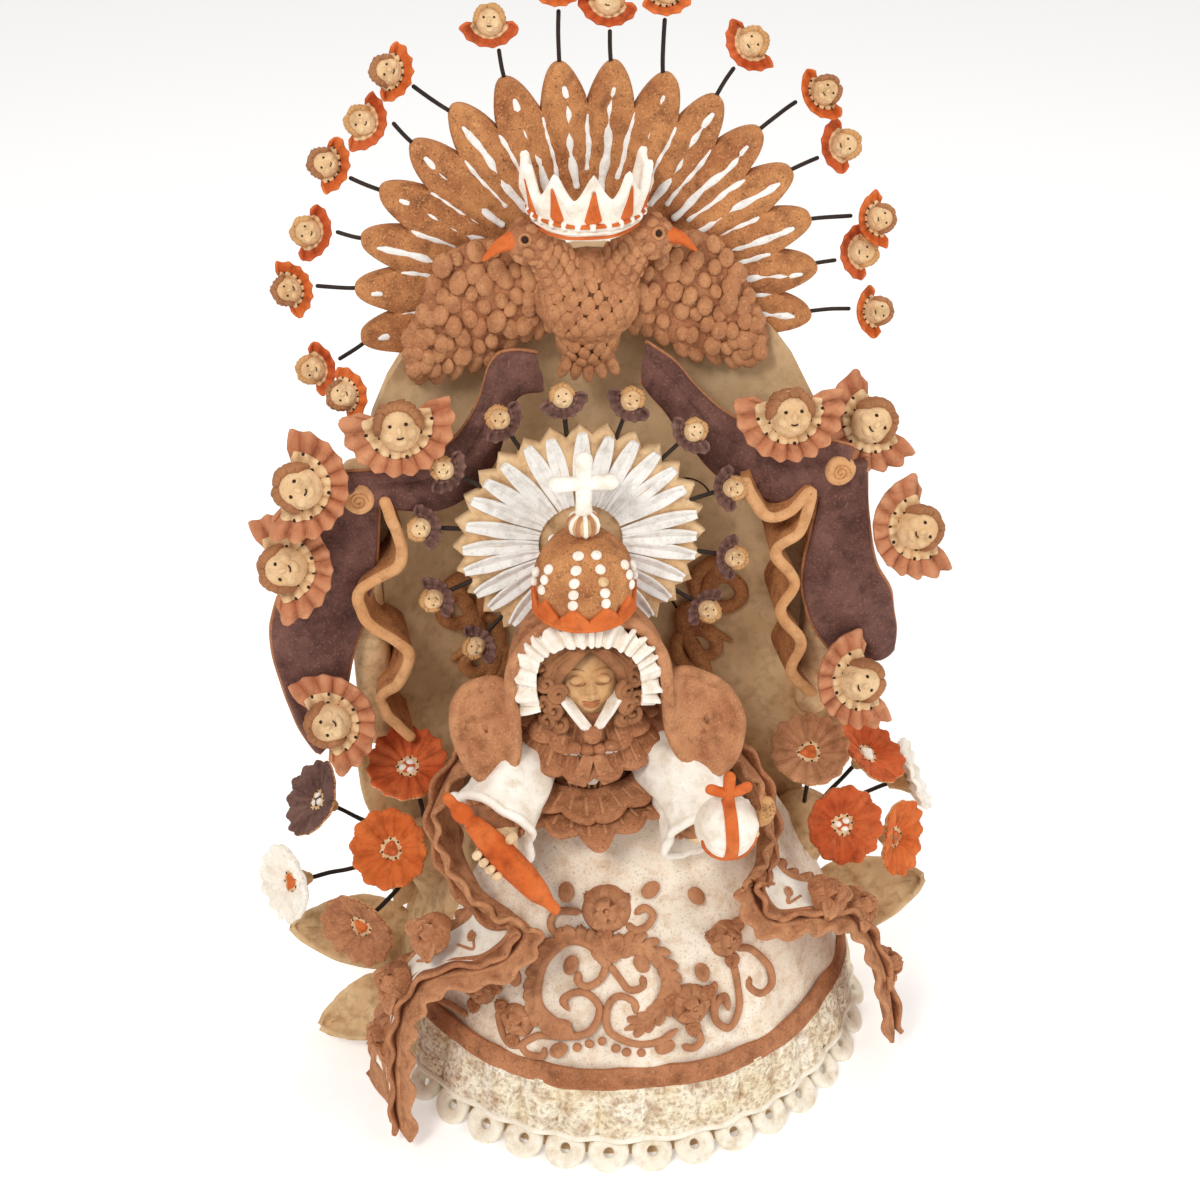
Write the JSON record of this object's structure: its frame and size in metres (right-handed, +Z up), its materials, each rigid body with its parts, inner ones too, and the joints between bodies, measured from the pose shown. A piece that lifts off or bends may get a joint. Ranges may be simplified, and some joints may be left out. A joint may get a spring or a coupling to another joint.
{
  "type": "clay tree of life",
  "caption": "Free-standing clay figurine: a crowned figure in a bell skirt before an arched wall with curtains, an eagle and a ray fan, ringed by cherubs and flowers on sprung wires.",
  "frame": {"origin": "on the ground, below the middle of the whole piece's bounding box", "axes": "+Z up, +Y away from the viewer, +X to the viewer's right; +Z is the longest extent"},
  "size_m": [0.3517, 0.2578, 0.5408],
  "materials": {
    "buff_clay": "matte low-fired buff clay, brushed smooth",
    "sand_clay": "matte sandy terracotta with a fine grit",
    "brown_slip": "matte burnished brown slip with tool marks",
    "ochre_slip": "matte ochre slip, smoothed",
    "white_slip": "matte off-white slip, speckled and slightly crackled",
    "plum_slip": "matte dark purple-brown slip",
    "orange_slip": "matte burnt-orange slip",
    "red_slip": "matte orange-red slip"
  },
  "bodies": {
    "root": {"foot_bell": "buff_clay", "skirt": "white_slip", "lace_flounce": "white_slip", "hem_rings": "white_slip", "skirt_band": "brown_slip", "skirt_ornaments": "brown_slip", "bodice": "brown_slip", "bodice_ruffles": "sand_clay", "head": "ochre_slip", "hair": "brown_slip", "veil": "white_slip", "hood": "sand_clay", "sleeves": "white_slip", "hands": "ochre_slip", "sceptre": "orange_slip", "orb": "white_slip", "mantle_left": "brown_slip", "mantle_right": "brown_slip", "nimbus": "buff_clay", "crown": "brown_slip", "back_wall": "buff_clay", "scroll_posts": "sand_clay", "curtain_left": "plum_slip", "curtain_right": "plum_slip", "swag_left": "plum_slip", "swag_right": "plum_slip", "pegs": "sand_clay", "eagle_body": "brown_slip", "eagle_wings": "brown_slip", "eagle_crown": "white_slip", "sunburst": "sand_clay", "nimbus_cherubs": "plum_slip", "curtain_cherubs": "sand_clay", "leaves": "buff_clay"},
    "halo_cherub_01": {"halo_cherub_01": "orange_slip"},
    "halo_cherub_02": {"halo_cherub_02": "orange_slip"},
    "halo_cherub_03": {"halo_cherub_03": "orange_slip"},
    "halo_cherub_04": {"halo_cherub_04": "orange_slip"},
    "halo_cherub_05": {"halo_cherub_05": "orange_slip"},
    "halo_cherub_06": {"halo_cherub_06": "orange_slip"},
    "halo_cherub_07": {"halo_cherub_07": "orange_slip"},
    "halo_cherub_08": {"halo_cherub_08": "orange_slip"},
    "halo_cherub_09": {"halo_cherub_09": "orange_slip"},
    "halo_cherub_10": {"halo_cherub_10": "orange_slip"},
    "halo_cherub_11": {"halo_cherub_11": "orange_slip"},
    "halo_cherub_12": {"halo_cherub_12": "orange_slip"},
    "halo_cherub_13": {"halo_cherub_13": "orange_slip"},
    "halo_cherub_14": {"halo_cherub_14": "orange_slip"},
    "halo_cherub_15": {"halo_cherub_15": "orange_slip"},
    "halo_cherub_16": {"halo_cherub_16": "orange_slip"},
    "flower_01": {"flower_01": "red_slip"},
    "flower_02": {"flower_02": "plum_slip"},
    "flower_03": {"flower_03": "orange_slip"},
    "flower_04": {"flower_04": "white_slip"},
    "flower_05": {"flower_05": "brown_slip"},
    "flower_06": {"flower_06": "brown_slip"},
    "flower_07": {"flower_07": "red_slip"},
    "flower_08": {"flower_08": "red_slip"},
    "flower_09": {"flower_09": "orange_slip"},
    "flower_10": {"flower_10": "white_slip"}
  },
  "joints": [
    {"name": "halo_cherub_01_sway", "type": "hinge", "parent": "root", "child": "halo_cherub_01", "pos_m": [0.09379, 0.033, 0.38067], "axis": [-0.0349, 0, 0.9994], "range_deg": [-7, 7], "stiffness_Nm_per_rad": 0.3},
    {"name": "halo_cherub_02_sway", "type": "hinge", "parent": "root", "child": "halo_cherub_02", "pos_m": [0.09474, 0.033, 0.40318], "axis": [-0.1564, 0, 0.9877], "range_deg": [-7, 7], "stiffness_Nm_per_rad": 0.3},
    {"name": "halo_cherub_03_sway", "type": "hinge", "parent": "root", "child": "halo_cherub_03", "pos_m": [0.09052, 0.033, 0.42531], "axis": [-0.0523, 0, 0.9986], "range_deg": [-7, 7], "stiffness_Nm_per_rad": 0.3},
    {"name": "halo_cherub_04_sway", "type": "hinge", "parent": "root", "child": "halo_cherub_04", "pos_m": [0.08135, 0.033, 0.44589], "axis": [-0.4226, 0, 0.9063], "range_deg": [-7, 7], "stiffness_Nm_per_rad": 0.3},
    {"name": "halo_cherub_05_sway", "type": "hinge", "parent": "root", "child": "halo_cherub_05", "pos_m": [0.06773, 0.033, 0.46383], "axis": [-0.6157, 0, 0.788], "range_deg": [-7, 7], "stiffness_Nm_per_rad": 0.3},
    {"name": "halo_cherub_06_sway", "type": "hinge", "parent": "root", "child": "halo_cherub_06", "pos_m": [0.05038, 0.033, 0.47819], "axis": [-0.866, 0, 0.5], "range_deg": [-7, 7], "stiffness_Nm_per_rad": 0.3},
    {"name": "halo_cherub_07_sway", "type": "hinge", "parent": "root", "child": "halo_cherub_07", "pos_m": [0.0302, 0.033, 0.48821], "axis": [-1, 0, 0], "range_deg": [-7, 7], "stiffness_Nm_per_rad": 0.3},
    {"name": "halo_cherub_08_sway", "type": "hinge", "parent": "root", "child": "halo_cherub_08", "pos_m": [0.00826, 0.033, 0.49335], "axis": [-0.9976, 0, -0.0698], "range_deg": [-7, 7], "stiffness_Nm_per_rad": 0.3},
    {"name": "halo_cherub_09_sway", "type": "hinge", "parent": "root", "child": "halo_cherub_09", "pos_m": [-0.01426, 0.033, 0.49335], "axis": [-0.9998, 0, -0.0175], "range_deg": [-7, 7], "stiffness_Nm_per_rad": 0.3},
    {"name": "halo_cherub_10_sway", "type": "hinge", "parent": "root", "child": "halo_cherub_10", "pos_m": [-0.0362, 0.033, 0.48821], "axis": [-0.9781, 0, -0.2079], "range_deg": [-7, 7], "stiffness_Nm_per_rad": 0.3},
    {"name": "halo_cherub_11_sway", "type": "hinge", "parent": "root", "child": "halo_cherub_11", "pos_m": [-0.05638, 0.033, 0.47819], "axis": [-0.5878, 0, -0.809], "range_deg": [-7, 7], "stiffness_Nm_per_rad": 0.3},
    {"name": "halo_cherub_12_sway", "type": "hinge", "parent": "root", "child": "halo_cherub_12", "pos_m": [-0.07373, 0.033, 0.46383], "axis": [-0.7431, 0, -0.6691], "range_deg": [-7, 7], "stiffness_Nm_per_rad": 0.3},
    {"name": "halo_cherub_13_sway", "type": "hinge", "parent": "root", "child": "halo_cherub_13", "pos_m": [-0.08735, 0.033, 0.44589], "axis": [-0.4067, 0, -0.9135], "range_deg": [-7, 7], "stiffness_Nm_per_rad": 0.3},
    {"name": "halo_cherub_14_sway", "type": "hinge", "parent": "root", "child": "halo_cherub_14", "pos_m": [-0.09652, 0.033, 0.42531], "axis": [-0.2588, 0, -0.9659], "range_deg": [-7, 7], "stiffness_Nm_per_rad": 0.3},
    {"name": "halo_cherub_15_sway", "type": "hinge", "parent": "root", "child": "halo_cherub_15", "pos_m": [-0.10074, 0.033, 0.40318], "axis": [-0.0872, 0, -0.9962], "range_deg": [-7, 7], "stiffness_Nm_per_rad": 0.3},
    {"name": "halo_cherub_16_sway", "type": "hinge", "parent": "root", "child": "halo_cherub_16", "pos_m": [-0.09979, 0.033, 0.38067], "axis": [0.5592, 0, -0.829], "range_deg": [-7, 7], "stiffness_Nm_per_rad": 0.3},
    {"name": "flower_01_sway", "type": "hinge", "parent": "root", "child": "flower_01", "pos_m": [-0.08965, -0.00104, 0.11851], "axis": [0.8619, -0.507, 0], "range_deg": [-6, 6], "stiffness_Nm_per_rad": 0.3},
    {"name": "flower_02_sway", "type": "hinge", "parent": "root", "child": "flower_02", "pos_m": [-0.09888, 0.00276, 0.11284], "axis": [-0.0688, -0.9976, 0], "range_deg": [-6, 6], "stiffness_Nm_per_rad": 0.3},
    {"name": "flower_03_sway", "type": "hinge", "parent": "root", "child": "flower_03", "pos_m": [-0.09301, -0.0069, 0.11396], "axis": [0.8654, -0.501, 0], "range_deg": [-6, 6], "stiffness_Nm_per_rad": 0.3},
    {"name": "flower_04_sway", "type": "hinge", "parent": "root", "child": "flower_04", "pos_m": [-0.10019, -0.002, 0.107], "axis": [0.3085, -0.9512, 0], "range_deg": [-6, 6], "stiffness_Nm_per_rad": 0.3},
    {"name": "flower_05_sway", "type": "hinge", "parent": "root", "child": "flower_05", "pos_m": [-0.09611, -0.00791, 0.10435], "axis": [0.7682, -0.6402, 0], "range_deg": [-6, 6], "stiffness_Nm_per_rad": 0.3},
    {"name": "flower_06_sway", "type": "hinge", "parent": "root", "child": "flower_06", "pos_m": [0.10506, -0.0018, 0.11841], "axis": [0.9785, -0.206, 0], "range_deg": [-6, 6], "stiffness_Nm_per_rad": 0.3},
    {"name": "flower_07_sway", "type": "hinge", "parent": "root", "child": "flower_07", "pos_m": [0.11403, 0.00248, 0.1161], "axis": [-0.0587, 0.9983, 0], "range_deg": [-6, 6], "stiffness_Nm_per_rad": 0.3},
    {"name": "flower_08_sway", "type": "hinge", "parent": "root", "child": "flower_08", "pos_m": [0.10896, -0.00834, 0.11324], "axis": [0.9578, 0.2873, 0], "range_deg": [-6, 6], "stiffness_Nm_per_rad": 0.3},
    {"name": "flower_09_sway", "type": "hinge", "parent": "root", "child": "flower_09", "pos_m": [0.11735, -0.004, 0.107], "axis": [0.4626, 0.8866, 0], "range_deg": [-6, 6], "stiffness_Nm_per_rad": 0.3},
    {"name": "flower_10_sway", "type": "hinge", "parent": "root", "child": "flower_10", "pos_m": [0.1182, 0.00509, 0.10867], "axis": [-0.2425, 0.9701, 0], "range_deg": [-6, 6], "stiffness_Nm_per_rad": 0.3}
  ]
}
